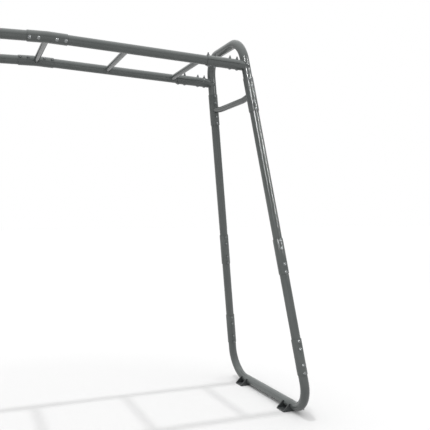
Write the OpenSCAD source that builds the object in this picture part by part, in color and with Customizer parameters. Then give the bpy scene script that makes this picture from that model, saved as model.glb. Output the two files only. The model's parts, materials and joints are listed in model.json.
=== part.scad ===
// Monkey bars: two leaning end frames of bent tube carry an arched ladder in two halves.
// X runs along the ladder, Y across it, Z up. The origin is on the floor, under the middle rung.
// "right" is the +X end and "left" the -X end; "front" is the -Y side and "back" the +Y side.

/* [End frames] */
// Height of the top bar's axis above the floor
top_h = 2057; // [1700:1:2500]
// Distance between the legs' axes where they meet the floor bar
base_w = 954; // [850:1:1150]
// Lean of each leg towards the other, in the plane of the frame
leg_splay = 7.1; // [5:0.1:8]
// Lean of each end frame towards the middle of the ladder
frame_lean = 8; // [4:0.5:12]
// Bend radius of the floor bar's corners, at the tube's axis
floor_bend_r = 150; // [110:1:190]
// Bend radius of the top bar's corners, at the tube's axis
top_bend_r = 130; // [90:1:140]
// Distance up the leg, from the floor corner to the lower splice
low_joint = 307; // [290:1:400]
// Distance up the leg, from the floor corner to the middle splice
mid_joint = 850; // [600:1:1200]
// Distance down the leg, from its corner with the top bar to the upper splice
up_drop = 313; // [290:0.5:420]

/* [Ladder] */
// Drop from the top bar's axis to the rails' axes where they meet the legs
rail_drop = 147; // [142:1:152]
// Slope of each half of the ladder
ladder_slope = 1.9; // [0.5:0.1:5]
// Distance between rungs along the rails
rung_pitch = 397; // [300:1:500]
// Gap along the rail between the last rung and a coupling's shells
shell_clear = 17; // [8:1:60]
// Gap along the stub between a coupling's upper shell and the leg
shell_gap = 19; // [14:1:40]
// Reach of a coupling's lower shell past the leg's axis, along the rail
shell_reach = 12; // [0:1:16]

/* [Tubes] */
// Outer diameter of the rails, the legs and the bent hoops
tube_od = 50; // [40:0.5:60]
// Wall of the rails, the legs and the bent hoops
tube_wall = 2; // [1.5:0.5:3]
// Amount by which the stub's diameter is under the rail's
stub_under = 0.4; // [0.2:0.1:1]
// Outer diameter of a rung
rung_od = 30; // [25:0.5:36]
// Outer diameter of the cross brace
brace_od = 34; // [25:0.5:38]
// Wall of the rungs and the cross brace
rung_wall = 2; // [1.5:0.5:3]
// Distance from the leg's axis to the bend in the cross brace
brace_bend_at = 105; // [80:1:120]
// Bend radius of the cross brace
brace_bend_r = 200; // [150:5:300]

/* [Sleeves and couplings] */
// Length of a splice sleeve and of a coupling's upper shell
sleeve_len = 190; // [150:1:230]
// Wall of a sleeve or a shell
sleeve_wall = 2.7; // [2:0.1:4]
// Radial gap between a tube and the sleeve or shell round it
sleeve_gap = 0.3; // [0.2:0.05:0.5]
// Gap between the upper and the lower shell of a coupling, on each side
shell_split = 1.5; // [1:0.5:4]
// Gap between the ends of two tubes that butt inside a sleeve
butt_gap = 3; // [2:0.5:6]
// Gap left at a coped joint for the weld
weld_gap = 0.1; // [0.05:0.05:0.2]

/* [Fasteners] */
// Diameter of a bolt
bolt_d = 8; // [6:1:10]
// Diameter of a bolt's domed head
bolt_head_d = 18; // [15:0.5:20]
// Height of a bolt's domed head
bolt_head_h = 5; // [4:0.5:6]
// Distance from a sleeve's end to the nearest bolt
bolt_edge = 10; // [9:0.5:14]
// Distance between the two bolts in one tube's end
bolt_pitch = 42; // [30:1:45]
// Radial clearance of a bolt in its hole
bolt_clear = 0.3; // [0.2:0.05:0.5]
// Nut, across flats
nut_af = 13; // [11:0.5:15]
// Height of a nut
nut_h = 6.5; // [5:0.5:8]
// Gap between a sleeve and what is screwed down on it
seat_gap = 0.1; // [0.05:0.05:0.3]
// Thread standing out of a sleeve bolt's nut
sleeve_thread = 1.5; // [1:0.5:4]
// Thread standing out of a coupling bolt's nut
coupling_thread = 9; // [5:0.5:15]
// Angle of the ladder splice's bolts below the horizontal
splice_bolt_tilt = 27; // [0:1:35]

/* [Feet] */
// Distance from the start of the floor bar's bend to a foot's middle
foot_inset = 35; // [30:1:150]
// Length of a foot along the floor bar
foot_len = 80; // [60:1:100]
// Width of a foot across the floor bar
foot_w = 132; // [120:1:160]
// Thickness of a foot's base
foot_base = 6; // [5:0.5:10]
// Height of a foot's ribs above the floor
foot_rib_h = 43; // [38:1:46]
// Thickness of a foot's ribs
foot_rib_t = 7; // [5:0.5:12]
// Width of the flat tip of a rib, on each side of the floor bar
foot_tip = 8; // [4:0.5:14]
// Distance of an anchor hole from the floor bar's axis
anchor_x = 55; // [50:0.5:58]
// Diameter of an anchor hole
anchor_d = 9; // [6:0.5:10]
// Radial gap between a foot's ribs and the floor bar
foot_gap = 0.3; // [0.2:0.1:0.5]

/* [Hidden] */
$fn = 64;

// Rungs on each half, besides the middle one; NODES and the nodes below count on two
rungs_per_half = 2;

tube_r = tube_od / 2;
bore_r = tube_r - tube_wall;
stub_r = tube_r - stub_under / 2;
rung_r = rung_od / 2;
brace_r = brace_od / 2;
sleeve_in_r = tube_r + sleeve_gap;
sleeve_r = sleeve_in_r + sleeve_wall;
bolt_r = bolt_d / 2;
hole_r = bolt_r + bolt_clear;
bolt_offsets = [sleeve_len / 2 - bolt_edge - bolt_pitch, sleeve_len / 2 - bolt_edge];

// The end frame, measured in its own leaning plane
floor_bar_h = foot_base + tube_r + foot_gap;
frame_len = (top_h - floor_bar_h) / cos(frame_lean);
top_w = base_w - 2 * frame_len * tan(leg_splay);
leg_len = frame_len / cos(leg_splay);
up_joint = leg_len - up_drop;
floor_turn = 90 + leg_splay;
top_turn = 90 - leg_splay;
floor_tangent = floor_bend_r * tan(floor_turn / 2);
top_tangent = top_bend_r * tan(top_turn / 2);
foot_y = base_w / 2 - floor_tangent - foot_inset;

// The ladder, measured along its sloping rails from the middle of the arch
rail_h = top_h - rail_drop;
rail_up = (rail_h - floor_bar_h) / cos(frame_lean);
rail_y = base_w / 2 - rail_up * tan(leg_splay);
end_gap = rung_r + shell_clear + sleeve_len + shell_gap + tube_r;
rail_run = rungs_per_half * rung_pitch + end_gap;
attach_x = rail_run * cos(ladder_slope);
apex_h = rail_h + rail_run * sin(ladder_slope);
frame_x = attach_x + (rail_h - floor_bar_h) * tan(frame_lean);
rail_joint = rail_run - tube_r - shell_gap - sleeve_len / 2;

// Solids that cut others run past them by this much
over = 1;
far = 3000;
// A bend is drawn this much thinner than its straight ends, which lap over it by bend_lap
bend_thin = 0.2;
bend_lap = 0.5;

tube_colour = [0.36, 0.39, 0.39];
plastic_colour = [0.13, 0.14, 0.14];
zinc_colour = [0.75, 0.76, 0.76];

// ---------------------------------------------------------------- places

// Right-hand geometry as it is, or mirrored to the left end
module at_end(right) {
    if (right) children();
    else mirror([1, 0, 0]) children();
}

// Front geometry as it is, or mirrored to the back
module at_row(front) {
    if (front) children();
    else mirror([0, 1, 0]) children();
}

// The right end frame's plane: Y across, Z up the plane, origin on the floor bar
module in_frame() {
    translate([frame_x, 0, floor_bar_h]) rotate([0, -frame_lean, 0]) children();
}

// The right front leg: Z runs up its axis from the floor corner
module on_leg() {
    in_frame() translate([0, -base_w / 2, 0]) rotate([-leg_splay, 0, 0]) children();
}

// The right half of the ladder: X runs down the slope from the middle of the arch
module in_ladder() {
    translate([0, 0, apex_h]) rotate([0, ladder_slope, 0]) children();
}

// The right front rail: X runs along its axis
module on_rail() {
    in_ladder() translate([0, -rail_y, 0]) children();
}

// ---------------------------------------------------------------- shapes

// A round bar along X
module bar_x(r, from, to) {
    translate([from, 0, 0]) rotate([0, 90, 0]) cylinder(r = r, h = to - from);
}

// A tube along Z
module tube_z(r, bore, from, to) {
    difference() {
        translate([0, 0, from]) cylinder(r = r, h = to - from);
        translate([0, 0, from - over]) cylinder(r = bore, h = to - from + 2 * over);
    }
}

// A tube along X
module tube_x(r, bore, from, to) {
    difference() {
        bar_x(r, from, to);
        bar_x(bore, from - over, to + over);
    }
}

// A bar along Y, through the middle
module bar_y(r, half_len) {
    rotate([90, 0, 0]) cylinder(r = r, h = 2 * half_len, center = true);
}

// A bent bar of radius r in the YZ plane, bent at radius bend round the origin
module bend_yz(r, bend, from, turn) {
    rotate([90, 0, 90]) rotate([0, 0, from]) {
        rotate_extrude(angle = turn) translate([bend, 0]) circle(r = r - bend_thin);
    }
}

// Holes through a leg's tube or sleeve, along Y, at the given distances up the leg
module leg_holes(places) {
    for (z = places) translate([0, 0, z]) rotate([90, 0, 0]) {
        cylinder(r = hole_r, h = 4 * sleeve_r, center = true);
    }
}

// Turns Z to the direction from a splice bolt's head to its nut, in a rail's section
module splice_bolt_turn() {
    rotate([splice_bolt_tilt - 90, 0, 0]) children();
}

// Holes through a rail or splice sleeve, at the given distances along the rail
module splice_holes(places) {
    for (x = places) translate([x, 0, 0]) splice_bolt_turn() {
        cylinder(r = hole_r, h = 4 * sleeve_r, center = true);
    }
}

// Upright holes through a rail, stub or coupling
module coupling_holes() {
    for (d = bolt_offsets) for (s = [-1, 1]) {
        translate([rail_joint + s * d, 0, 0]) cylinder(r = hole_r, h = 4 * sleeve_r, center = true);
    }
}

// A domed bolt along Z, head below, for a sleeve whose axis crosses it at the origin
module bolt(thread) {
    seat = sleeve_r + seat_gap;
    dome_r = (pow(bolt_head_d / 2, 2) + pow(bolt_head_h, 2)) / (2 * bolt_head_h);
    intersection() {
        translate([0, 0, -seat - bolt_head_h + dome_r]) sphere(r = dome_r);
        translate([0, 0, -seat - bolt_head_h]) cylinder(r = bolt_head_d, h = bolt_head_h);
    }
    translate([0, 0, -seat - over]) cylinder(r = bolt_r, h = 2 * seat + over + nut_h + thread);
}

// The nut of such a bolt
module nut() {
    difference() {
        translate([0, 0, sleeve_r + seat_gap]) cylinder(r = nut_af / 2 / cos(30), h = nut_h, $fn = 6);
        cylinder(r = bolt_r + seat_gap, h = 2 * sleeve_r);
    }
}

// The places of one splice's four bolts
function four_bolts(middle) = [for (s = [-1, 1]) for (d = bolt_offsets) middle + s * d];

// ---------------------------------------------------------------- end frames

// The solid form of the top bar, its bends and its short legs; end_over lengthens the legs
module top_hoop_bar(r, end_over) {
    bend_y = top_w / 2 - top_tangent;
    in_frame() translate([0, 0, frame_len]) bar_y(r, bend_y + bend_lap);
    for (front = [true, false]) at_row(front) {
        in_frame() translate([0, -bend_y, frame_len - top_bend_r]) bend_yz(r, top_bend_r, 90, top_turn);
        on_leg() {
            from = up_joint + butt_gap / 2 - end_over;
            translate([0, 0, from]) cylinder(r = r, h = leg_len - top_tangent + bend_lap - from);
        }
    }
}

module top_hoop() {
    color(tube_colour) difference() {
        union() {
            top_hoop_bar(tube_r, 0);
            for (front = [true, false]) at_row(front) on_rail() {
                bar_x(stub_r, rail_joint + butt_gap / 2, rail_run);
            }
        }
        top_hoop_bar(bore_r, over);
        for (front = [true, false]) at_row(front) {
            on_rail() {
                bar_x(stub_r - tube_wall, rail_joint, rail_run - bore_r);
                coupling_holes();
            }
            on_leg() leg_holes(four_bolts(up_joint));
        }
    }
}

// The solid form of the floor bar, its bends and its short legs
module bottom_hoop_bar(r, end_over) {
    bend_y = base_w / 2 - floor_tangent;
    in_frame() bar_y(r, bend_y + bend_lap);
    for (front = [true, false]) at_row(front) {
        in_frame() translate([0, -bend_y, floor_bend_r]) {
            bend_yz(r, floor_bend_r, 180 - leg_splay, floor_turn);
        }
        on_leg() {
            from = floor_tangent - bend_lap;
            translate([0, 0, from]) cylinder(r = r, h = low_joint - butt_gap / 2 + end_over - from);
        }
    }
}

module bottom_hoop() {
    color(tube_colour) difference() {
        bottom_hoop_bar(tube_r, 0);
        bottom_hoop_bar(bore_r, over);
        for (front = [true, false]) at_row(front) on_leg() leg_holes(four_bolts(low_joint));
    }
}

// A straight leg tube between two splices
module leg_tube(from, to) {
    color(tube_colour) on_leg() difference() {
        tube_z(tube_r, bore_r, from + butt_gap / 2, to - butt_gap / 2);
        leg_holes(four_bolts(from));
        leg_holes(four_bolts(to));
    }
}

module leg_sleeve(middle) {
    color(tube_colour) on_leg() difference() {
        tube_z(sleeve_r, sleeve_in_r, middle - sleeve_len / 2, middle + sleeve_len / 2);
        leg_holes(four_bolts(middle));
    }
}

// The solid form of the cross brace, whose ends stand square on the legs; the middle is level
module brace_bar(r) {
    tangent = brace_bend_r * tan(leg_splay / 2);
    leg_y = -base_w / 2 + up_joint * sin(leg_splay);
    leg_z = up_joint * cos(leg_splay);
    bend_y = leg_y + brace_bend_at * cos(leg_splay) + tangent;
    middle_z = leg_z - brace_bend_at * sin(leg_splay);
    in_frame() translate([0, 0, middle_z]) bar_y(r, bend_lap - bend_y);
    for (front = [true, false]) at_row(front) {
        in_frame() translate([0, bend_y, middle_z + brace_bend_r]) {
            bend_yz(r, brace_bend_r, 270 - leg_splay, leg_splay);
        }
        on_leg() translate([0, 0, up_joint]) rotate([-90, 0, 0]) {
            cylinder(r = r, h = brace_bend_at - tangent + bend_lap);
        }
    }
}

module brace() {
    color(tube_colour) difference() {
        brace_bar(brace_r);
        brace_bar(brace_r - rung_wall);
        for (front = [true, false]) at_row(front) on_leg() {
            translate([0, 0, up_joint - sleeve_len]) cylinder(r = sleeve_r + weld_gap, h = 2 * sleeve_len);
        }
    }
}

// A foot: a base with two ribs that clip round the floor bar, and an anchor hole on each side
module foot() {
    edge = foot_w / 2;
    clip = tube_r + foot_gap;
    tip = sqrt(pow(clip, 2) - pow(foot_rib_h - floor_bar_h, 2)) + foot_tip;
    color(plastic_colour) translate([frame_x, -foot_y, 0]) difference() {
        union() {
            translate([-edge, -foot_len / 2, 0]) cube([foot_w, foot_len, foot_base]);
            for (s = [-1, 1]) translate([0, s * (foot_len - foot_rib_t) / 2, 0]) rotate([90, 0, 0]) {
                linear_extrude(height = foot_rib_t, center = true) {
                    polygon([[-edge, 0], [edge, 0], [edge, foot_base], [tip, foot_rib_h],
                        [-tip, foot_rib_h], [-edge, foot_base]]);
                }
            }
        }
        translate([0, 0, floor_bar_h]) bar_y(clip, foot_len);
        for (s = [-1, 1]) translate([s * anchor_x, 0, -over]) cylinder(d = anchor_d, h = foot_base + 2 * over);
    }
}

// ---------------------------------------------------------------- ladder

module rail() {
    color(tube_colour) on_rail() difference() {
        tube_x(tube_r, bore_r, butt_gap / 2, rail_joint - butt_gap / 2);
        splice_holes(bolt_offsets);
        coupling_holes();
    }
}

// The solid form of the splice's sleeve, mitred at the middle of the arch
module splice_bar(r, half_len) {
    for (right = [true, false]) at_end(right) intersection() {
        on_rail() bar_x(r, -sleeve_r, half_len);
        translate([0, -far / 2, 0]) cube(far);
    }
}

module splice_sleeve() {
    color(tube_colour) difference() {
        splice_bar(sleeve_r, sleeve_len / 2);
        splice_bar(sleeve_in_r, sleeve_len / 2 + over);
        for (right = [true, false]) at_end(right) on_rail() splice_holes(bolt_offsets);
    }
}

// A rung across the whole ladder, before its ends are coped
module rung_tube() {
    difference() {
        bar_y(rung_r, rail_y);
        bar_y(rung_r - rung_wall, rail_y + over);
    }
}

module middle_rung() {
    color(tube_colour) difference() {
        translate([0, 0, apex_h]) rung_tube();
        for (front = [true, false]) at_row(front) splice_bar(sleeve_r + weld_gap, sleeve_len);
    }
}

module rung(number) {
    color(tube_colour) in_ladder() translate([number * rung_pitch, 0, 0]) difference() {
        rung_tube();
        for (s = [-1, 1]) translate([0, s * rail_y, 0]) bar_x(tube_r + weld_gap, -rung_od, rung_od);
    }
}

// ---------------------------------------------------------------- end couplings

// Everything above the height z along a rail, to cut a coupling into its shells
module above_split(z) {
    translate([0, -far / 2, z]) cube(far);
}

// The lower shell reaches past the stub and is notched round the leg
module lower_shell() {
    color(tube_colour) difference() {
        on_rail() difference() {
            tube_x(sleeve_r, sleeve_in_r, rail_joint - sleeve_len / 2, rail_run + shell_reach);
            above_split(-shell_split / 2);
            coupling_holes();
        }
        on_leg() translate([0, 0, up_joint]) cylinder(r = tube_r + sleeve_gap, h = leg_len - up_joint);
    }
}

module upper_shell() {
    color(tube_colour) on_rail() difference() {
        tube_x(sleeve_r, sleeve_in_r, rail_joint - sleeve_len / 2, rail_joint + sleeve_len / 2);
        mirror([0, 0, 1]) above_split(-shell_split / 2);
        coupling_holes();
    }
}

// ---------------------------------------------------------------- fasteners

// Puts a bolt or nut at each of a leg splice's four holes on every leg, head outwards
module each_leg_bolt(middle) {
    for (right = [true, false]) for (front = [true, false]) at_end(right) at_row(front) on_leg() {
        for (z = four_bolts(middle)) translate([0, 0, z]) rotate([-90, 0, 0]) children();
    }
}

// Puts a bolt or nut at each hole of the ladder's two splices, head outwards
module each_splice_bolt() {
    for (right = [true, false]) for (front = [true, false]) at_end(right) at_row(front) on_rail() {
        for (x = bolt_offsets) translate([x, 0, 0]) splice_bolt_turn() children();
    }
}

// Puts a bolt or nut at each hole of the four end couplings, head below
module each_coupling_bolt() {
    for (right = [true, false]) for (front = [true, false]) at_end(right) at_row(front) on_rail() {
        for (x = four_bolts(rail_joint)) translate([x, 0, 0]) children();
    }
}

module sleeve_bolts(middle) {
    color(zinc_colour) each_leg_bolt(middle) bolt(sleeve_thread);
}

module sleeve_nuts(middle) {
    color(zinc_colour) each_leg_bolt(middle) nut();
}

module splice_bolts() {
    color(zinc_colour) each_splice_bolt() bolt(sleeve_thread);
}

module splice_nuts() {
    color(zinc_colour) each_splice_bolt() nut();
}

module coupling_bolts() {
    color(zinc_colour) each_coupling_bolt() bolt(coupling_thread);
}

module coupling_nuts() {
    color(zinc_colour) each_coupling_bolt() nut();
}

// ---------------------------------------------------------------- nodes

at_end(true) top_hoop();  // right_top_hoop
at_end(false) top_hoop();  // left_top_hoop
at_end(true) bottom_hoop();  // right_bottom_hoop
at_end(false) bottom_hoop();  // left_bottom_hoop

at_end(true) at_row(true) leg_tube(mid_joint, up_joint);  // right_front_upper_leg
at_end(true) at_row(false) leg_tube(mid_joint, up_joint);  // right_back_upper_leg
at_end(false) at_row(true) leg_tube(mid_joint, up_joint);  // left_front_upper_leg
at_end(false) at_row(false) leg_tube(mid_joint, up_joint);  // left_back_upper_leg

at_end(true) at_row(true) leg_tube(low_joint, mid_joint);  // right_front_lower_leg
at_end(true) at_row(false) leg_tube(low_joint, mid_joint);  // right_back_lower_leg
at_end(false) at_row(true) leg_tube(low_joint, mid_joint);  // left_front_lower_leg
at_end(false) at_row(false) leg_tube(low_joint, mid_joint);  // left_back_lower_leg

at_end(true) at_row(true) leg_sleeve(up_joint);  // right_front_upper_sleeve
at_end(true) at_row(false) leg_sleeve(up_joint);  // right_back_upper_sleeve
at_end(false) at_row(true) leg_sleeve(up_joint);  // left_front_upper_sleeve
at_end(false) at_row(false) leg_sleeve(up_joint);  // left_back_upper_sleeve

at_end(true) at_row(true) leg_sleeve(mid_joint);  // right_front_middle_sleeve
at_end(true) at_row(false) leg_sleeve(mid_joint);  // right_back_middle_sleeve
at_end(false) at_row(true) leg_sleeve(mid_joint);  // left_front_middle_sleeve
at_end(false) at_row(false) leg_sleeve(mid_joint);  // left_back_middle_sleeve

at_end(true) at_row(true) leg_sleeve(low_joint);  // right_front_lower_sleeve
at_end(true) at_row(false) leg_sleeve(low_joint);  // right_back_lower_sleeve
at_end(false) at_row(true) leg_sleeve(low_joint);  // left_front_lower_sleeve
at_end(false) at_row(false) leg_sleeve(low_joint);  // left_back_lower_sleeve

at_end(true) brace();  // right_brace
at_end(false) brace();  // left_brace

at_end(true) at_row(true) foot();  // right_front_foot
at_end(true) at_row(false) foot();  // right_back_foot
at_end(false) at_row(true) foot();  // left_front_foot
at_end(false) at_row(false) foot();  // left_back_foot

at_end(true) at_row(true) rail();  // right_front_rail
at_end(true) at_row(false) rail();  // right_back_rail
at_end(false) at_row(true) rail();  // left_front_rail
at_end(false) at_row(false) rail();  // left_back_rail

at_row(true) splice_sleeve();  // front_splice_sleeve
at_row(false) splice_sleeve();  // back_splice_sleeve

middle_rung();
at_end(true) rung(1);  // right_inner_rung
at_end(true) rung(2);  // right_outer_rung
at_end(false) rung(1);  // left_inner_rung
at_end(false) rung(2);  // left_outer_rung

at_end(true) at_row(true) lower_shell();  // right_front_lower_shell
at_end(true) at_row(false) lower_shell();  // right_back_lower_shell
at_end(false) at_row(true) lower_shell();  // left_front_lower_shell
at_end(false) at_row(false) lower_shell();  // left_back_lower_shell

at_end(true) at_row(true) upper_shell();  // right_front_upper_shell
at_end(true) at_row(false) upper_shell();  // right_back_upper_shell
at_end(false) at_row(true) upper_shell();  // left_front_upper_shell
at_end(false) at_row(false) upper_shell();  // left_back_upper_shell

sleeve_bolts(up_joint);  // upper_sleeve_bolts
sleeve_nuts(up_joint);  // upper_sleeve_nuts
sleeve_bolts(mid_joint);  // middle_sleeve_bolts
sleeve_nuts(mid_joint);  // middle_sleeve_nuts
sleeve_bolts(low_joint);  // lower_sleeve_bolts
sleeve_nuts(low_joint);  // lower_sleeve_nuts
splice_bolts();
splice_nuts();
coupling_bolts();
coupling_nuts();
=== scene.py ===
"""Monkey bars: the finished looks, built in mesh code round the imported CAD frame.

The numbers below repeat part.scad's sizes, in metres, and place_check() holds every piece against its
CAD node. X runs along the ladder, Y across it and Z up; the origin is on the floor under the middle rung.
"""

import json
import math

import bmesh
import bpy
from mathutils import Matrix, Vector

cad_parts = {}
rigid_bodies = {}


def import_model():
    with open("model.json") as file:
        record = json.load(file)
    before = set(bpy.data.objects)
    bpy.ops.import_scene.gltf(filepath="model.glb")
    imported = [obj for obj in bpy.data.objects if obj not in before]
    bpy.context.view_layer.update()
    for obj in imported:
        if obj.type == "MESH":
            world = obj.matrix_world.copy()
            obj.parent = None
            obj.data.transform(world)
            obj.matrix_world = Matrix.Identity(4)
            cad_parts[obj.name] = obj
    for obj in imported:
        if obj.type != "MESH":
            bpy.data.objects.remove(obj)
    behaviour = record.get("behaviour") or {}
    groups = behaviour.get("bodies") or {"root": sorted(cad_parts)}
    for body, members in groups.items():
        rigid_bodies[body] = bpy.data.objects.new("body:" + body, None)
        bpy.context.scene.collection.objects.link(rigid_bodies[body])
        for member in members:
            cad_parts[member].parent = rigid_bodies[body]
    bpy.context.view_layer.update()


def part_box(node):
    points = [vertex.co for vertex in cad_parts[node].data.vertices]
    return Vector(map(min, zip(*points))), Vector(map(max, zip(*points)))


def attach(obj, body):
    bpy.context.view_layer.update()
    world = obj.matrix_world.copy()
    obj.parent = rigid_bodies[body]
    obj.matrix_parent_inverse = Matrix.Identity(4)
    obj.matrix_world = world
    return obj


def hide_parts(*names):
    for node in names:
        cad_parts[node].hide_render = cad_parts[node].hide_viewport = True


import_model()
MM = 0.001

# ---------------------------------------------------------------- sizes, as in part.scad

TOP_H, BASE_W = 2057 * MM, 954 * MM
LEG_SPLAY, FRAME_LEAN, LADDER_SLOPE = math.radians(7.1), math.radians(8), math.radians(1.9)
FLOOR_BEND_R, TOP_BEND_R = 150 * MM, 130 * MM
LOW_JOINT, MID_JOINT, UP_DROP = 307 * MM, 850 * MM, 313 * MM
RAIL_DROP, RUNG_PITCH = 147 * MM, 397 * MM
SHELL_CLEAR, SHELL_GAP, SHELL_REACH = 17 * MM, 19 * MM, 12 * MM
TUBE_R, TUBE_WALL, STUB_R = 25 * MM, 2 * MM, 24.8 * MM
RUNG_R, BRACE_R, RUNG_WALL = 15 * MM, 17 * MM, 2 * MM
BRACE_BEND_AT, BRACE_BEND_R = 105 * MM, 200 * MM
SLEEVE_LEN, SLEEVE_IN_R, SLEEVE_R = 190 * MM, 25.3 * MM, 28 * MM
SHELL_SPLIT, BUTT_GAP = 1.5 * MM, 3 * MM
BOLT_R, HEAD_R, HEAD_H = 4 * MM, 9 * MM, 5 * MM
NUT_AF, NUT_H, SEAT_GAP = 13 * MM, 6.5 * MM, 0.1 * MM
SLEEVE_THREAD, COUPLING_THREAD = 1.5 * MM, 9 * MM
BOLT_OFFSETS = (43 * MM, 85 * MM)
SPLICE_TILT = math.radians(27)
FOOT_INSET, FOOT_LEN, FOOT_W, FOOT_BASE = 35 * MM, 80 * MM, 132 * MM, 6 * MM
RIB_H, RIB_T, FOOT_TIP, FOOT_GAP = 43 * MM, 7 * MM, 8 * MM, 0.3 * MM
ANCHOR_X, ANCHOR_R = 55 * MM, 4.5 * MM

# Sizes of the visual model alone. No piece may run more than STRAY past its CAD node's box.
STRAY, SIDES = 4 * MM, 56
TUBE_RIM, SLEEVE_RIM, SHELL_ROUND, FOOT_ROUND = 0.6 * MM, 0.9 * MM, 0.7 * MM, 1.1 * MM
STUB_BEAD, BEAD, BEAD_RIPPLE, BEAD_LIFT, WELD_SINK = 2.6 * MM, 2.3 * MM, 3.2 * MM, 0.4 * MM, 0.3 * MM
STUB_BEAD_STEPS, BRACE_BEAD_STEPS, RUNG_BEAD_STEPS = 168, 120, 110
STUB_RING, RUNG_START, COUNTERSINK, LEG_CLEAR = 60 * MM, 60 * MM, 2.5 * MM, 0.9 * MM
PITCH = 1.25 * MM

# Sizes that follow from the others
BORE_R = TUBE_R - TUBE_WALL
FLOOR_BAR_H = FOOT_BASE + TUBE_R + FOOT_GAP
FRAME_LEN = (TOP_H - FLOOR_BAR_H) / math.cos(FRAME_LEAN)
TOP_W = BASE_W - 2 * FRAME_LEN * math.tan(LEG_SPLAY)
LEG_LEN = FRAME_LEN / math.cos(LEG_SPLAY)
UP_JOINT = LEG_LEN - UP_DROP
FLOOR_TANGENT = FLOOR_BEND_R * math.tan((math.pi / 2 + LEG_SPLAY) / 2)
TOP_TANGENT = TOP_BEND_R * math.tan((math.pi / 2 - LEG_SPLAY) / 2)
FOOT_Y = BASE_W / 2 - FLOOR_TANGENT - FOOT_INSET
RAIL_H = TOP_H - RAIL_DROP
RAIL_UP = (RAIL_H - FLOOR_BAR_H) / math.cos(FRAME_LEAN)
RAIL_Y = BASE_W / 2 - RAIL_UP * math.tan(LEG_SPLAY)
RAIL_RUN = 2 * RUNG_PITCH + RUNG_R + SHELL_CLEAR + SLEEVE_LEN + SHELL_GAP + TUBE_R
APEX_H = RAIL_H + RAIL_RUN * math.sin(LADDER_SLOPE)
FRAME_X = RAIL_RUN * math.cos(LADDER_SLOPE) + (RAIL_H - FLOOR_BAR_H) * math.tan(FRAME_LEAN)
RAIL_JOINT = RAIL_RUN - TUBE_R - SHELL_GAP - SLEEVE_LEN / 2

# ---------------------------------------------------------------- places


def move(x, y, z):
    """A shift by x, y and z."""
    return Matrix.Translation((x, y, z))


def turn(angle, axis):
    """A turn by angle about the axis X, Y or Z."""
    return Matrix.Rotation(angle, 4, axis)


def corner(right, front):
    """Mirrors right front geometry to the end and row asked for."""
    return Matrix.Diagonal((1 if right else -1, 1 if front else -1, 1, 1))


IN_FRAME = move(FRAME_X, 0, FLOOR_BAR_H) @ turn(-FRAME_LEAN, "Y")
ON_LEG = IN_FRAME @ move(0, -BASE_W / 2, 0) @ turn(-LEG_SPLAY, "X")
IN_LADDER = move(0, 0, APEX_H) @ turn(LADDER_SLOPE, "Y")
ON_RAIL = IN_LADDER @ move(0, -RAIL_Y, 0)
ENDS = (("right", True), ("left", False))
ROWS = (("front", True), ("back", False))

# ---------------------------------------------------------------- mesh tools


def grid(bm, rings, closed_loop=False, cap=False):
    """Joins rings of points, each a closed loop of the same count, into a skin. Gives their vertices."""
    rows = [[bm.verts.new(p) for p in ring] for ring in rings]
    pairs = list(zip(rows, rows[1:]))
    if closed_loop:
        pairs.append((rows[-1], rows[0]))
    for a, b in pairs:
        for i in range(len(a)):
            j = (i + 1) % len(a)
            bm.faces.new((a[i], a[j], b[j], b[i]))
    if cap:
        bm.faces.new(list(reversed(rows[0])))
        bm.faces.new(rows[-1])
    return rows


def circle(centre, along, side, radius, count):
    """A ring of points round centre, square to along."""
    up = along.cross(side).normalized()
    out = up.cross(along).normalized()
    return [centre + radius * (math.cos(t) * out + math.sin(t) * up)
            for t in (2 * math.pi * i / count for i in range(count))]


def lathe(bm, profile, count, closed_loop=False, cap=False, shape=None):
    """Turns (radius, z) pairs about Z; shape(angle, radius, z) may change the radius."""
    rings = []
    for r, z in profile:
        ring = []
        for i in range(count):
            t = 2 * math.pi * i / count
            q = shape(t, r, z) if shape else r
            ring.append(Vector((q * math.cos(t), q * math.sin(t), z)))
        rings.append(ring)
    grid(bm, rings, closed_loop, cap)


def ring_profile(outer, inner, z0, z1, rim):
    """A tube's section as a closed loop of (radius, z), its four rims rounded by rim."""
    loop = []
    for r, z, sr, sz, start in ((outer, z0, -1, 1, 270), (outer, z1, -1, -1, 0),
                                (inner, z1, 1, -1, 90), (inner, z0, 1, 1, 180)):
        for k in range(4):
            a = math.radians(start + 30 * k)
            loop.append((r + sr * rim + rim * math.cos(a), z + sz * rim + rim * math.sin(a)))
    return loop


def sweep(bm, path, side, radius, count, bore, rim=TUBE_RIM):
    """A tube along path, which lies square to side, with a bore and rounded ends."""
    dirs = []
    for i in range(len(path)):
        a, b = path[max(i - 1, 0)], path[min(i + 1, len(path) - 1)]
        dirs.append((b - a).normalized())
    rings = []

    def ring(i, r, slide=0.0):
        rings.append(circle(path[i] + dirs[i] * slide, dirs[i], side, r, count))

    last = len(path) - 1
    for i, s in ((0, 1), (last, -1)):
        outer = [(radius - rim, 0), (radius - 0.3 * rim, 0.3 * rim), (radius, rim)]
        if i:
            outer.reverse()
            for j in range(1, last):
                ring(j, radius)
        for r, slide in outer:
            ring(i, r, s * slide)
    inner = [(bore + rim, 0), (bore + 0.3 * rim, 0.3 * rim), (bore, rim)]
    for r, slide in inner:
        ring(last, r, -slide)
    for j in range(last - 1, 0, -1):
        ring(j, bore)
    for r, slide in reversed(inner):
        ring(0, r, slide)
    grid(bm, rings, closed_loop=True)


def straight(a, b, step=0.15):
    """Points from a to b, no more than step apart."""
    n = max(2, math.ceil((b - a).length / step) + 1)
    return [a.lerp(b, i / (n - 1)) for i in range(n)]


def reach(point, way, base, axis, radius):
    """How far from point, going way, a cylinder's near side lies, or its axis if way passes beside it."""
    p, w = point - base, way
    p, w = p - axis * p.dot(axis), w - axis * w.dot(axis)
    a, b, c = w.dot(w), 2 * p.dot(w), p.dot(p) - radius * radius
    return (-b - math.sqrt(max(0.0, b * b - 4 * a * c))) / (2 * a)


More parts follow.
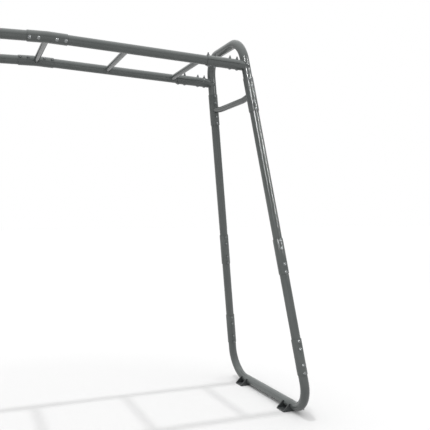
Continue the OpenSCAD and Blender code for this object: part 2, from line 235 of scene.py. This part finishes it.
def saddle(start, way, side, radius, base, axis, wall, count):
    """The ring where a round bar, going way from start, meets a cylinder of radius wall."""
    ring = circle(start, way, side, radius, count)
    return [p + way * reach(p, way, base, axis, wall) for p in ring]


def weld(bm, ring, size, count=8, ripple=BEAD_RIPPLE):
    """A rippled weld bead along a closed ring of points."""
    n = len(ring)
    mid = sum(ring, Vector()) / n
    length = sum((ring[i] - ring[i - 1]).length for i in range(n))
    waves = max(6, round(length / ripple))
    done, rows = 0.0, []
    for i in range(n):
        ahead = (ring[(i + 1) % n] - ring[i - 1]).normalized()
        out = ring[i] - mid
        out = (out - ahead * out.dot(ahead)).normalized()
        r = size * (1 + 0.13 * math.cos(2 * math.pi * waves * done / length))
        rows.append(circle(ring[i], ahead, out, r, count))
        done += (ring[(i + 1) % n] - ring[i]).length
    grid(bm, rows, closed_loop=True)


def joined(bm, part, place):
    """Adds the mesh part to bm at place."""
    part.transform(place)
    if place.determinant() < 0:
        bmesh.ops.reverse_faces(part, faces=part.faces)
    spare = bpy.data.meshes.new("spare")
    part.to_mesh(spare)
    part.free()
    bm.from_mesh(spare)
    bpy.data.meshes.remove(spare)


def cut(bm, *cutters):
    """A mesh with the cutters' solids taken out of bm's."""
    objs = []
    for part in (bm, *cutters):
        bmesh.ops.recalc_face_normals(part, faces=part.faces)
        mesh = bpy.data.meshes.new("spare")
        part.to_mesh(mesh)
        part.free()
        objs.append(bpy.data.objects.new("spare", mesh))
        bpy.context.scene.collection.objects.link(objs[-1])
    for cutter in objs[1:]:
        m = objs[0].modifiers.new("cut", "BOOLEAN")
        m.operation, m.solver, m.object = "DIFFERENCE", "EXACT", cutter
    result = bmesh.new()
    result.from_object(objs[0], bpy.context.evaluated_depsgraph_get())
    for obj in objs:
        bpy.data.meshes.remove(obj.data)
    return result


def place_check(obj, node):
    """Stops the script if a piece isn't where its CAD node is: only beads and rims may stand proud."""
    lo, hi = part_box(node)
    xs = [v.co for v in obj.data.vertices]
    for k in range(3):
        a, b = min(c[k] for c in xs), max(c[k] for c in xs)
        if abs(a - lo[k]) > STRAY or abs(b - hi[k]) > STRAY:
            cad = f"the CAD {lo[k]:.4f} to {hi[k]:.4f}"
            raise RuntimeError(f"{obj.name}: axis {k} runs {a:.4f} to {b:.4f}, {cad}")


def piece(name, node, bm, material, bevel=0.0, sharp=32):
    """Makes an object of bm, which stands for the CAD node."""
    bmesh.ops.recalc_face_normals(bm, faces=bm.faces)
    mesh = bpy.data.meshes.new(name)
    bm.to_mesh(mesh)
    bm.free()
    mesh.shade_smooth()
    mesh.set_sharp_from_angle(angle=math.radians(sharp))
    mesh.materials.append(material)
    obj = bpy.data.objects.new(name, mesh)
    bpy.context.scene.collection.objects.link(obj)
    if bevel:
        m = obj.modifiers.new("rounded edges", "BEVEL")
        m.width, m.segments, m.limit_method, m.angle_limit = bevel, 3, "ANGLE", math.radians(40)
    place_check(obj, node)
    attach(obj, "root")
    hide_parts(node)
    return obj


# ---------------------------------------------------------------- materials


def node_tree(name):
    """A new node material, its node tree, its shader and the object coordinates."""
    mat = bpy.data.materials.new(name)
    mat.use_nodes = True
    nt = mat.node_tree
    shader = nt.nodes["Principled BSDF"]
    where = nt.nodes.new("ShaderNodeTexCoord").outputs["Object"]
    return mat, nt, shader, where


def noise(nt, where, scale, detail=2.0, rough=0.5):
    """A noise value, with scale features to the metre."""
    n = nt.nodes.new("ShaderNodeTexNoise")
    n.inputs["Scale"].default_value = scale
    n.inputs["Detail"].default_value = detail
    n.inputs["Roughness"].default_value = rough
    nt.links.new(where, n.inputs["Vector"])
    return n.outputs["Fac"]


def ramp(nt, value, stops):
    """A colour that runs through the stops (position, colour) as value goes from 0 to 1."""
    r = nt.nodes.new("ShaderNodeValToRGB")
    while len(r.color_ramp.elements) < len(stops):
        r.color_ramp.elements.new(0.5)
    for e, (pos, colour) in zip(r.color_ramp.elements, stops):
        e.position = pos
        e.color = (*colour, 1) if len(colour) == 3 else colour
    nt.links.new(value, r.inputs["Fac"])
    return r.outputs["Color"]


def spread(nt, value, low, high, a=0.3, b=0.7):
    """Value mapped from a..b to low..high, and held there beyond."""
    m = nt.nodes.new("ShaderNodeMapRange")
    for key, v in (("From Min", a), ("From Max", b), ("To Min", low), ("To Max", high)):
        m.inputs[key].default_value = v
    nt.links.new(value, m.inputs["Value"])
    return m.outputs["Result"]


def mixed(nt, factor, a, b, how="MIX"):
    """Colours a and b mixed. Each input may be a number, a colour or a socket."""
    m = nt.nodes.new("ShaderNodeMix")
    m.data_type, m.blend_type = "RGBA", how
    sockets = {"Factor": m.inputs[0], "A": m.inputs[6], "B": m.inputs[7]}
    for key, v in (("Factor", factor), ("A", a), ("B", b)):
        if isinstance(v, (int, float)):
            sockets[key].default_value = v
        elif isinstance(v, tuple):
            sockets[key].default_value = (*v, 1)
        else:
            nt.links.new(v, sockets[key])
    return m.outputs[2]


def bump(nt, height, strength, distance, under=None):
    """A normal bumped by height, on top of the normal under."""
    b = nt.nodes.new("ShaderNodeBump")
    b.inputs["Strength"].default_value = strength
    b.inputs["Distance"].default_value = distance
    nt.links.new(height, b.inputs["Height"])
    if under is not None:
        nt.links.new(under, b.inputs["Normal"])
    return b.outputs["Normal"]


def powder_coat():
    """Dark grey powder coat: orange peel about a millimetre across, fine grit, faint cloudiness."""
    mat, nt, shader, where = node_tree("Powder coat")
    cloud = ramp(nt, noise(nt, where, 7, 3), [(0.3, (0.126, 0.139, 0.136)), (0.7, (0.143, 0.157, 0.153))])
    grit = ramp(nt, noise(nt, where, 1500, 1), [(0.35, (0.82, 0.82, 0.82)), (0.65, (1, 1, 1))])
    nt.links.new(mixed(nt, 1.0, cloud, grit, "MULTIPLY"), shader.inputs["Base Color"])
    nt.links.new(spread(nt, noise(nt, where, 35, 3), 0.16, 0.23), shader.inputs["Roughness"])
    peel = bump(nt, noise(nt, where, 620, 1.5), 0.11, 0.25 * MM)
    nt.links.new(bump(nt, noise(nt, where, 2400, 1), 0.10, 0.08 * MM, peel), shader.inputs["Normal"])
    shader.inputs["Metallic"].default_value = 0.0
    shader.inputs["Specular IOR Level"].default_value = 0.5
    return mat


def black_plastic():
    """Moulded black plastic with a spark-eroded grain and a little dust in the hollows of the grain."""
    mat, nt, shader, where = node_tree("Black plastic")
    base = ramp(nt, noise(nt, where, 25, 4), [(0.3, (0.042, 0.046, 0.047)), (0.75, (0.060, 0.065, 0.066))])
    nt.links.new(base, shader.inputs["Base Color"])
    nt.links.new(spread(nt, noise(nt, where, 60, 3), 0.30, 0.42), shader.inputs["Roughness"])
    nt.links.new(bump(nt, noise(nt, where, 1800, 2), 0.3, 0.2 * MM), shader.inputs["Normal"])
    return mat


def zinc():
    """Darkened zinc plate, faintly mottled."""
    mat, nt, shader, where = node_tree("Zinc")
    base = ramp(nt, noise(nt, where, 220, 3), [(0.25, (0.17, 0.18, 0.19)), (0.55, (0.22, 0.23, 0.23)),
                                               (0.85, (0.25, 0.245, 0.235))])
    nt.links.new(base, shader.inputs["Base Color"])
    nt.links.new(spread(nt, noise(nt, where, 500, 3), 0.22, 0.38), shader.inputs["Roughness"])
    nt.links.new(bump(nt, noise(nt, where, 1600, 2), 0.12, 0.1 * MM), shader.inputs["Normal"])
    shader.inputs["Metallic"].default_value = 1.0
    return mat


COAT, PLASTIC, ZINC = powder_coat(), black_plastic(), zinc()

# ---------------------------------------------------------------- end frames


def arc(centre, radius, start, end, steps):
    """Points of an arc in the frame's YZ plane, angles in radians from +Y."""
    for i in range(steps + 1):
        a = start + (end - start) * i / steps
        yield Vector((0, centre[0] + radius * math.cos(a), centre[1] + radius * math.sin(a)))


def leg_point(d):
    """The point d up the front leg's axis, in the frame's own plane."""
    return Vector((0, -BASE_W / 2 + d * math.sin(LEG_SPLAY), d * math.cos(LEG_SPLAY)))


def mirrored(half):
    """A path to the middle of the frame, and on down its mirror image."""
    return half + [Vector((p.x, -p.y, p.z)) for p in reversed(half)]


def hoop_path(joint, tangent_at, centre, radius, start, end):
    """From a joint in the front leg, round a bend to the middle, and on to the back leg."""
    leg = straight(leg_point(joint), leg_point(tangent_at))
    bend = list(arc(centre, radius, start, end, 28))
    return mirrored(leg[:-1] + bend)


def top_hoop(end):
    """The top bar, its bends and its legs, with the stubs for the rails."""
    bend_y = TOP_W / 2 - TOP_TANGENT
    path = hoop_path(UP_JOINT + BUTT_GAP / 2, LEG_LEN - TOP_TANGENT, (-bend_y, FRAME_LEN - TOP_BEND_R),
                     TOP_BEND_R, math.pi - LEG_SPLAY, math.pi / 2)
    bm, part = bmesh.new(), bmesh.new()
    sweep(part, path, Vector((1, 0, 0)), TUBE_R, SIDES, BORE_R)
    joined(bm, part, corner(end, True) @ IN_FRAME)
    # The stubs that the rails bolt to, and their welds
    to_rail = ON_RAIL.inverted() @ ON_LEG
    base = to_rail.to_translation()
    axis = to_rail.to_3x3() @ Vector((0, 0, 1))
    way, side, start = Vector((1, 0, 0)), Vector((0, 1, 0)), Vector((RAIL_JOINT + BUTT_GAP / 2, 0, 0))
    for row in (True, False):
        stub = bmesh.new()
        rings = []
        for r, x in ((STUB_R - 0.5 * MM, 0), (STUB_R, 0.5 * MM), (STUB_R, STUB_RING)):
            rings.append(circle(start + way * x, way, side, r, SIDES))
        rings.append(saddle(start, way, side, STUB_R, base, axis, TUBE_R - 0.5 * MM, SIDES))
        bore = STUB_R - TUBE_WALL
        rings.append(saddle(start, way, side, bore, base, axis, TUBE_R - 0.5 * MM, SIDES))
        for r, x in ((bore, STUB_RING), (bore, 0.5 * MM), (bore + 0.5 * MM, 0)):
            rings.append(circle(start + way * x, way, side, r, SIDES))
        grid(stub, rings, closed_loop=True)
        seam = saddle(start, way, side, STUB_R + 0.5 * MM, base, axis, TUBE_R + 0.5 * MM, STUB_BEAD_STEPS)
        weld(stub, seam, STUB_BEAD)
        joined(bm, stub, corner(end, row) @ ON_RAIL)
    return bm


def bottom_hoop(end):
    """The floor bar, its bends and its legs."""
    bend_y = BASE_W / 2 - FLOOR_TANGENT
    path = hoop_path(LOW_JOINT - BUTT_GAP / 2, FLOOR_TANGENT, (-bend_y, FLOOR_BEND_R),
                     FLOOR_BEND_R, math.pi - LEG_SPLAY, 1.5 * math.pi)
    bm, part = bmesh.new(), bmesh.new()
    sweep(part, path, Vector((1, 0, 0)), TUBE_R, SIDES, BORE_R)
    joined(bm, part, corner(end, True) @ IN_FRAME)
    return bm


def leg_tube(end, row, low, high):
    """A straight tube of a leg between the joints low and high."""
    bm, part = bmesh.new(), bmesh.new()
    a, b = Vector((0, 0, low + BUTT_GAP / 2)), Vector((0, 0, high - BUTT_GAP / 2))
    sweep(part, straight(a, b), Vector((1, 0, 0)), TUBE_R, SIDES, BORE_R)
    joined(bm, part, corner(end, row) @ ON_LEG)
    return bm


def leg_sleeve(end, row, middle):
    """The sleeve over a joint in a leg."""
    bm, part = bmesh.new(), bmesh.new()
    low, high = middle - SLEEVE_LEN / 2, middle + SLEEVE_LEN / 2
    lathe(part, ring_profile(SLEEVE_R, SLEEVE_IN_R, low, high, SLEEVE_RIM), SIDES, closed_loop=True)
    joined(bm, part, corner(end, row) @ ON_LEG)
    return bm


def brace(end):
    """The cross brace, bent up at both ends to stand square on the legs' sleeves, with its welds."""
    tangent = BRACE_BEND_R * math.tan(LEG_SPLAY / 2)
    across = Vector((0, math.cos(LEG_SPLAY), -math.sin(LEG_SPLAY)))
    foot = leg_point(UP_JOINT)
    middle_z = foot.z - BRACE_BEND_AT * math.sin(LEG_SPLAY)
    bend_y = foot.y + BRACE_BEND_AT * math.cos(LEG_SPLAY) + tangent
    start = foot + across * (SLEEVE_R + 12 * MM)
    centre = (bend_y, middle_z + BRACE_BEND_R)
    bend = arc(centre, BRACE_BEND_R, 1.5 * math.pi - LEG_SPLAY, 1.5 * math.pi, 8)
    path = mirrored([start, *bend])
    side = Vector((1, 0, 0))
    base, axis = foot, Vector((0, math.sin(LEG_SPLAY), math.cos(LEG_SPLAY)))
    bm, part = bmesh.new(), bmesh.new()

    def end_ring(r, wall, flip):
        ring = saddle(start, -across, side, r, base, axis, wall, SIDES)
        # circle() runs the other way round when it looks back along the path
        ring = [ring[0], *reversed(ring[1:])]
        return [Vector((p.x, -p.y, p.z)) for p in ring] if flip else ring

    last = len(path) - 1
    dirs = [(path[min(i + 1, last)] - path[max(i - 1, 0)]).normalized() for i in range(last + 1)]
    dirs[0], dirs[-1] = across, Vector((0, across.y, -across.z))

    def skin(r):
        return [circle(p, d, side, r, SIDES) for p, d in zip(path, dirs)]

    def matched(ring, like):
        """The ring's points in the order of the ring like."""
        best = min(range(SIDES), key=lambda k: (ring[k] - like[0]).length)
        forward = [ring[(best + i) % SIDES] for i in range(SIDES)]
        back = [ring[(best - i) % SIDES] for i in range(SIDES)]
        q = SIDES // 4
        return forward if (forward[q] - like[q]).length < (back[q] - like[q]).length else back

    outer, inner = skin(BRACE_R), skin(BRACE_R - RUNG_WALL)
    wall = SLEEVE_R - WELD_SINK
    rings = [matched(end_ring(BRACE_R, wall, False), outer[0]), *outer,
             matched(end_ring(BRACE_R, wall, True), outer[-1])]
    rings += [matched(end_ring(BRACE_R - RUNG_WALL, wall, True), inner[-1]), *reversed(inner),
              matched(end_ring(BRACE_R - RUNG_WALL, wall, False), inner[0])]
    grid(part, rings, closed_loop=True)
    for flip in (False, True):
        ring = saddle(start, -across, side, BRACE_R + BEAD_LIFT, base, axis, SLEEVE_R + BEAD_LIFT,
                      BRACE_BEAD_STEPS)
        weld(part, [Vector((p.x, -p.y, p.z)) for p in ring] if flip else ring, BEAD)
    joined(bm, part, corner(end, True) @ IN_FRAME)
    return bm


def foot(end, row):
    """A moulded foot: a base with two ribs that clip round the floor bar, and two anchor holes."""
    edge, clip = FOOT_W / 2, TUBE_R + FOOT_GAP
    tip = math.sqrt(clip ** 2 - (RIB_H - FLOOR_BAR_H) ** 2) + FOOT_TIP
    low = math.asin((RIB_H - FLOOR_BAR_H) / clip)
    arc_pts = [(clip * math.cos(a), FLOOR_BAR_H + clip * math.sin(a))
               for a in (low - (math.pi + 2 * low) * i / 40 for i in range(41))]
    shoulder = [(edge, FOOT_BASE), (tip, RIB_H)]
    rib = [(-edge, 0), (edge, 0), *shoulder, *arc_pts, *[(-x, z) for x, z in reversed(shoulder)]]
    flat = [(x, min(z, FOOT_BASE)) for x, z in rib]
    half, inner = FOOT_LEN / 2, FOOT_LEN / 2 - RIB_T
    part = bmesh.new()
    sections = ((rib, -half), (rib, -inner), (flat, -inner), (flat, inner), (rib, inner), (rib, half))
    grid(part, [[(x, y, z) for x, z in pts] for pts, y in sections], cap=True)
    bmesh.ops.remove_doubles(part, verts=part.verts, dist=0.01 * MM)
    bmesh.ops.dissolve_degenerate(part, edges=part.edges, dist=0.01 * MM)
    bmesh.ops.dissolve_limit(part, angle_limit=math.radians(0.5), verts=part.verts, edges=part.edges)
    drills = []
    for s in (-1, 1):
        drill = bmesh.new()
        profile = [(ANCHOR_R, -1 * MM), (ANCHOR_R, FOOT_BASE - 1.5 * MM),
                   (ANCHOR_R + COUNTERSINK, FOOT_BASE + 1 * MM)]
        lathe(drill, profile, 32, cap=True)
        drill.transform(move(s * ANCHOR_X, 0, 0))
        drills.append(drill)
    part = cut(part, *drills)
    bm = bmesh.new()
    joined(bm, part, corner(end, row) @ move(FRAME_X, -FOOT_Y, 0))
    return bm


# ---------------------------------------------------------------- ladder


def rail(end, row):
    """A rail from the middle of the ladder to its end coupling."""
    bm, part = bmesh.new(), bmesh.new()
    a, b = Vector((BUTT_GAP / 2, 0, 0)), Vector((RAIL_JOINT - BUTT_GAP / 2, 0, 0))
    sweep(part, straight(a, b), Vector((0, 1, 0)), TUBE_R, SIDES, BORE_R)
    joined(bm, part, corner(end, row) @ ON_RAIL)
    return bm


def splice_sleeve(row):
    """The sleeve at the middle of the arch: two halves, mitred where they meet."""
    bm, part = bmesh.new(), bmesh.new()
    half = SLEEVE_LEN / 2
    rings = []
    down = Vector((math.cos(LADDER_SLOPE), 0, -math.sin(LADDER_SLOPE)))
    for r, x in ring_profile(SLEEVE_R, SLEEVE_IN_R, -half, half, SLEEVE_RIM):
        sign = 1 if x > 0 else -1
        along = Vector((sign * down.x, 0, down.z))
        rings.append(circle(along * abs(x), along * sign, Vector((0, 1, 0)), r, SIDES))

    def mitre(r):
        """The ring where the two halves meet."""
        flat = circle(Vector(), Vector((1, 0, 0)), Vector((0, 1, 0)), r, SIDES)
        return [Vector((0, p.y, p.z / down.x)) for p in flat]

    rings = rings[:4] + [mitre(SLEEVE_R)] + rings[4:12] + [mitre(SLEEVE_IN_R)] + rings[12:]
    grid(part, rings, closed_loop=True)
    joined(bm, part, corner(True, row) @ move(0, -RAIL_Y, APEX_H))
    return bm


def rung(place, wall, mirror):
    """A rung coped to both rails, whose radius is wall, and welded to them."""
    part = bmesh.new()
    side = Vector((1, 0, 0))

    def end_ring(r, cope, row, count):
        start, rail_at = Vector((0, -RAIL_Y + RUNG_START, 0)), Vector((0, -RAIL_Y, 0))
        ring = saddle(start, Vector((0, -1, 0)), side, r, rail_at, side, cope, count)
        return [Vector((p.x, p.y if row else -p.y, p.z)) for p in ring]

    def ring_at(r, y):
        return [Vector((p.x, y, p.z)) for p in end_ring(r, wall, True, SIDES)]

    bore = RUNG_R - RUNG_WALL
    stops = [-0.15, -0.05, 0.05, 0.15]
    sunk = wall - WELD_SINK
    rings = [end_ring(RUNG_R, sunk, True, SIDES), *[ring_at(RUNG_R, y) for y in stops],
             end_ring(RUNG_R, sunk, False, SIDES), end_ring(bore, sunk, False, SIDES),
             *[ring_at(bore, y) for y in reversed(stops)], end_ring(bore, sunk, True, SIDES)]
    grid(part, rings, closed_loop=True)
    for row in (True, False):
        weld(part, end_ring(RUNG_R + BEAD_LIFT, wall + BEAD_LIFT, row, RUNG_BEAD_STEPS), BEAD)
    bm = bmesh.new()
    joined(bm, part, mirror @ place)
    return bm


def shell(end, row, upper):
    """Half of a coupling. The lower half runs on past the leg, and is notched round it."""
    steps = 30
    outer_a, inner_a = math.asin(SHELL_SPLIT / 2 / SLEEVE_R), math.asin(SHELL_SPLIT / 2 / SLEEVE_IN_R)
    sign = 1 if upper else -1
    loop = []
    for r, a, order in ((SLEEVE_R, outer_a, 1), (SLEEVE_IN_R, inner_a, -1)):
        for i in range(steps + 1)[::order]:
            t = a + (math.pi - 2 * a) * i / steps
            loop.append((r * math.cos(t), sign * r * math.sin(t)))
    from_x = RAIL_JOINT - SLEEVE_LEN / 2
    to_x = RAIL_JOINT + SLEEVE_LEN / 2 if upper else RAIL_RUN + SHELL_REACH
    part = bmesh.new()
    rows = grid(part, [[(from_x + (to_x - from_x) * k / 6, y, z) for y, z in loop] for k in range(7)])
    n = steps + 1
    for verts in (rows[0], rows[-1]):
        for i in range(steps):
            part.faces.new((verts[i], verts[i + 1], verts[2 * n - 2 - i], verts[2 * n - 1 - i]))
    if not upper:
        leg = bmesh.new()
        lathe(leg, [(TUBE_R + LEG_CLEAR, -0.2), (TUBE_R + LEG_CLEAR, 0.2)], 96, cap=True)
        leg.transform(ON_RAIL.inverted() @ ON_LEG @ move(0, 0, LEG_LEN - RAIL_DROP))
        part = cut(part, leg)
    bm = bmesh.new()
    joined(bm, part, corner(end, row) @ ON_RAIL)
    return bm


# ---------------------------------------------------------------- fasteners


def threaded(t, r, z):
    """The radius at angle t of a thread whose crests are at r, or r itself off the thread."""
    if abs(r - BOLT_R) > 0.001 * MM:
        return r
    phase = (z / PITCH - t / (2 * math.pi)) % 1.0
    return r - 0.62 * MM * abs(2 * phase - 1)


def bolt_at(bm, place, thread):
    """A domed bolt, head below, through a sleeve whose axis crosses it at the origin."""
    seat = SLEEVE_R + SEAT_GAP
    tip = seat + NUT_H + thread + SEAT_GAP
    dome_r = (HEAD_R ** 2 + HEAD_H ** 2) / (2 * HEAD_H)
    rim = 0.9 * MM
    head = []
    for i in range(11):
        r = 0.02 * MM + (HEAD_R - rim) * math.sin(math.pi / 2 * i / 10)
        head.append((r, -seat - HEAD_H + dome_r - math.sqrt(dome_r ** 2 - r ** 2)))
    z_rim = head[-1][1]
    head += [(HEAD_R - 0.35 * rim, z_rim + 0.5 * rim), (HEAD_R, z_rim + 1.1 * rim),
             (HEAD_R, -seat - 0.25 * MM), (HEAD_R - 0.25 * MM, -seat)]
    shank_r = BOLT_R - 0.01 * MM
    body = [(shank_r, -seat), (shank_r, seat + NUT_H - 3 * PITCH)]
    rows = math.ceil((thread + 3 * PITCH - 1.0 * MM) / (PITCH / 4))
    z0, z1 = seat + NUT_H - 3 * PITCH + 0.02 * MM, tip - 1.0 * MM
    body += [(BOLT_R, z0 + (z1 - z0) * i / rows) for i in range(rows + 1)]
    end = [(BOLT_R - 0.75 * MM, tip - 0.6 * MM), (BOLT_R - 1.3 * MM, tip - 0.1 * MM),
           (BOLT_R - 1.6 * MM, tip)]
    part = bmesh.new()
    lathe(part, head + body + end, 24, cap=True, shape=threaded)
    joined(bm, part, place)


def nut_at(bm, place):
    """A hexagon nut with both faces chamfered, and its bore countersunk."""
    low, high = SLEEVE_R + SEAT_GAP, SLEEVE_R + SEAT_GAP + NUT_H
    flat, point = NUT_AF / 2, NUT_AF / 2 / math.cos(math.pi / 6)
    chamfer = (point - flat * 0.97) * math.tan(math.radians(30))

    def hexagon(t, r, z):
        """The radius of the hexagon at angle t, kept within r for the chamfers. The bore stays round."""
        if r < flat * 0.9:
            return r
        s = t % (math.pi / 3) - math.pi / 6
        return min(flat / math.cos(s), r)

    bore = BOLT_R + SEAT_GAP
    profile = [(bore, low + 0.6 * MM), (bore + 0.6 * MM, low)]
    sides = [(flat * 0.97 + (point - flat * 0.97) * k / 3, low + chamfer * k / 3) for k in range(4)]
    profile += sides + [(r, low + high - z) for r, z in reversed(sides)]
    profile += [(bore + 0.6 * MM, high), (bore, high - 0.6 * MM)]
    part = bmesh.new()
    lathe(part, profile, 48, closed_loop=True, shape=hexagon)
    joined(bm, part, place)


def four_bolts(middle):
    """Where a splice's four bolts are along its tube."""
    return [middle + s * d for s in (-1, 1) for d in BOLT_OFFSETS]


def leg_places(middle):
    """Where the bolts through the four leg sleeves at one height go."""
    for _, end in ENDS:
        for _, row in ROWS:
            for z in four_bolts(middle):
                yield corner(end, row) @ ON_LEG @ move(0, 0, z) @ turn(-math.pi / 2, "X")


def splice_places():
    """Where the bolts through the two sleeves at the middle of the arch go."""
    for _, end in ENDS:
        for _, row in ROWS:
            for x in BOLT_OFFSETS:
                yield corner(end, row) @ ON_RAIL @ move(x, 0, 0) @ turn(SPLICE_TILT - math.pi / 2, "X")


def coupling_places():
    """Where the bolts through the four end couplings go."""
    for _, end in ENDS:
        for _, row in ROWS:
            for x in four_bolts(RAIL_JOINT):
                yield corner(end, row) @ ON_RAIL @ move(x, 0, 0)


# ---------------------------------------------------------------- the pieces

for end_name, end in ENDS:
    piece(f"{end_name}_top_hoop_tube", f"{end_name}_top_hoop", top_hoop(end), COAT)
    piece(f"{end_name}_bottom_hoop_tube", f"{end_name}_bottom_hoop", bottom_hoop(end), COAT)
    piece(f"{end_name}_cross_brace", f"{end_name}_brace", brace(end), COAT)
    for row_name, row in ROWS:
        where = f"{end_name}_{row_name}"
        for which, low, high in (("upper", MID_JOINT, UP_JOINT), ("lower", LOW_JOINT, MID_JOINT)):
            piece(f"{where}_{which}_leg_tube", f"{where}_{which}_leg", leg_tube(end, row, low, high), COAT)
        for which, middle in (("upper", UP_JOINT), ("middle", MID_JOINT), ("lower", LOW_JOINT)):
            piece(f"{where}_{which}_splice", f"{where}_{which}_sleeve", leg_sleeve(end, row, middle), COAT)
        piece(f"{where}_moulded_foot", f"{where}_foot", foot(end, row), PLASTIC, bevel=FOOT_ROUND)
        piece(f"{where}_rail_tube", f"{where}_rail", rail(end, row), COAT)
        for half, which, upper in (("top", "upper", True), ("bottom", "lower", False)):
            piece(f"{where}_coupling_{half}", f"{where}_{which}_shell", shell(end, row, upper), COAT,
                  bevel=SHELL_ROUND)
for row_name, row in ROWS:
    piece(f"{row_name}_rail_splice", f"{row_name}_splice_sleeve", splice_sleeve(row), COAT)

level = move(0, 0, APEX_H)
piece("middle_welded_rung", "middle_rung", rung(level, SLEEVE_R, Matrix.Identity(4)), COAT)
for end_name, end in ENDS:
    for number, which in ((1, "inner"), (2, "outer")):
        at = IN_LADDER @ move(number * RUNG_PITCH, 0, 0)
        tube = rung(at, TUBE_R, corner(end, True))
        piece(f"{end_name}_{which}_welded_rung", f"{end_name}_{which}_rung", tube, COAT)

GROUPS = [("upper_sleeve", list(leg_places(UP_JOINT)), SLEEVE_THREAD),
          ("middle_sleeve", list(leg_places(MID_JOINT)), SLEEVE_THREAD),
          ("lower_sleeve", list(leg_places(LOW_JOINT)), SLEEVE_THREAD),
          ("splice", list(splice_places()), SLEEVE_THREAD),
          ("coupling", list(coupling_places()), COUPLING_THREAD)]
for name, places, thread in GROUPS:
    bolts, nuts = bmesh.new(), bmesh.new()
    for place in places:
        bolt_at(bolts, place, thread)
        nut_at(nuts, place)
    piece(f"{name}_domed_bolts", f"{name}_bolts", bolts, ZINC)
    piece(f"{name}_hex_nuts", f"{name}_nuts", nuts, ZINC, sharp=25)

# ---------------------------------------------------------------- floor, light and camera

# The floor's painted grey at distances from the origin, in metres: darker near the object as painted
# shade, lighter farther off as painted light that makes up for the lamp's falloff
FLOOR_REACH, FLOOR_HALF = 25, 40
FLOOR_PAINTED_SHADE_AND_LIGHT = ((1.2, 0.715), (2.4, 0.785), (10, 0.85), (FLOOR_REACH, 0.95))
HORIZON, ZENITH = 0.48, 1.45
LAMP_AT, LAMP_POWER, LAMP_SIZE = (0, -0.03, 8.2), 690, 0.12
STRIP_AIM, STRIP_WIDTH, STRIP_POWER, STRIP_SPREAD = (1.1, -0.3, 1.6), 0.32, 17, math.radians(60)
STRIPS = (("strip softbox, front", (-0.9, -3.62, 2.9), 2.2),
          ("strip softbox, right", (3.93, -3.13, 3.1), 2.4))
CAMERA_AT, CAMERA_TURN = (-0.378, -3.1992, 1.09), (math.radians(90), 0, math.radians(-22.97))

def floor():
    """A pale matt floor whose colour is painted shade and light: darker round the object as painted shade,
    and fading to white farther off as painted light that makes up for the lamp's falloff.
    """
    bm = bmesh.new()
    bmesh.ops.create_grid(bm, x_segments=2, y_segments=2, size=FLOOR_HALF)
    mesh = bpy.data.meshes.new("floor")
    bm.to_mesh(mesh)
    bm.free()
    obj = bpy.data.objects.new("floor", mesh)
    bpy.context.scene.collection.objects.link(obj)
    mat, nt, shader, where = node_tree("Floor")
    away = nt.nodes.new("ShaderNodeVectorMath")
    away.operation = "LENGTH"
    nt.links.new(where, away.inputs[0])
    far_off = spread(nt, away.outputs["Value"], 0.0, 1.0, 0.0, FLOOR_REACH)
    # The floor's base colour carries painted shade near the object and painted light farther off
    painted_shade_and_light = ramp(nt, far_off, [(d / FLOOR_REACH, (grey, grey, grey)) for d, grey in FLOOR_PAINTED_SHADE_AND_LIGHT])
    nt.links.new(painted_shade_and_light, shader.inputs["Base Color"])
    shader.inputs["Roughness"].default_value = 0.9
    shader.inputs["Specular IOR Level"].default_value = 0.0
    mesh.materials.append(mat)
    obj.visible_diffuse = False


def strip_light(name, place, length, lit):
    """A strip light that shows only as a reflection, and only on the pieces in lit."""
    data = bpy.data.lights.new(name, "AREA")
    data.shape, data.size, data.size_y, data.energy = "RECTANGLE", STRIP_WIDTH, length, STRIP_POWER
    data.spread = STRIP_SPREAD
    obj = bpy.data.objects.new(name, data)
    obj.location = place
    obj.rotation_euler = (Vector(STRIP_AIM) - Vector(place)).to_track_quat("-Z", "Y").to_euler()
    obj.visible_diffuse = False
    obj.light_linking.receiver_collection = lit
    bpy.context.scene.collection.objects.link(obj)


def studio_world():
    """A white background, and a sky that is brighter overhead than at the horizon to light the object."""
    world = bpy.data.worlds.new("studio")
    world.use_nodes = True
    nt = world.node_tree
    sky = nt.nodes["Background"]
    height = nt.nodes.new("ShaderNodeSeparateXYZ")
    nt.links.new(nt.nodes.new("ShaderNodeTexCoord").outputs["Generated"], height.inputs[0])
    nt.links.new(spread(nt, height.outputs["Z"], HORIZON, ZENITH, 0.0, 1.0), sky.inputs["Strength"])
    white = nt.nodes.new("ShaderNodeBackground")
    mix = nt.nodes.new("ShaderNodeMixShader")
    nt.links.new(nt.nodes.new("ShaderNodeLightPath").outputs["Is Camera Ray"], mix.inputs[0])
    nt.links.new(sky.outputs[0], mix.inputs[1])
    nt.links.new(white.outputs[0], mix.inputs[2])
    nt.links.new(mix.outputs[0], nt.nodes["World Output"].inputs["Surface"])
    for background in (sky, white):
        background.inputs["Color"].default_value = (1, 1, 1, 1)
    bpy.context.scene.world = world


floor()
studio_world()
lamp = bpy.data.objects.new("ceiling lamp", bpy.data.lights.new("ceiling lamp", "POINT"))
lamp.data.energy, lamp.data.shadow_soft_size = LAMP_POWER, LAMP_SIZE
lamp.visible_glossy = False
lamp.location = LAMP_AT
bpy.context.scene.collection.objects.link(lamp)
# In the photo the long highlights show on the near leg, its top bend and the bolt heads
near_leg = bpy.data.collections.new("lit by the strips")
for obj in bpy.context.scene.objects:
    if obj.name.startswith(("right_front_", "right_top_hoop")) or obj.name.endswith("_domed_bolts"):
        if "rail" not in obj.name and "coupling" not in obj.name:
            near_leg.objects.link(obj)
for name, place, length in STRIPS:
    strip_light(name, place, length, near_leg)

camera = bpy.data.objects.new("camera", bpy.data.cameras.new("camera"))
camera.data.lens, camera.data.sensor_width = 50, 36
camera.location = CAMERA_AT
camera.rotation_euler = CAMERA_TURN
bpy.context.scene.collection.objects.link(camera)
bpy.context.scene.camera = camera
bpy.context.scene.view_settings.view_transform = "Standard"
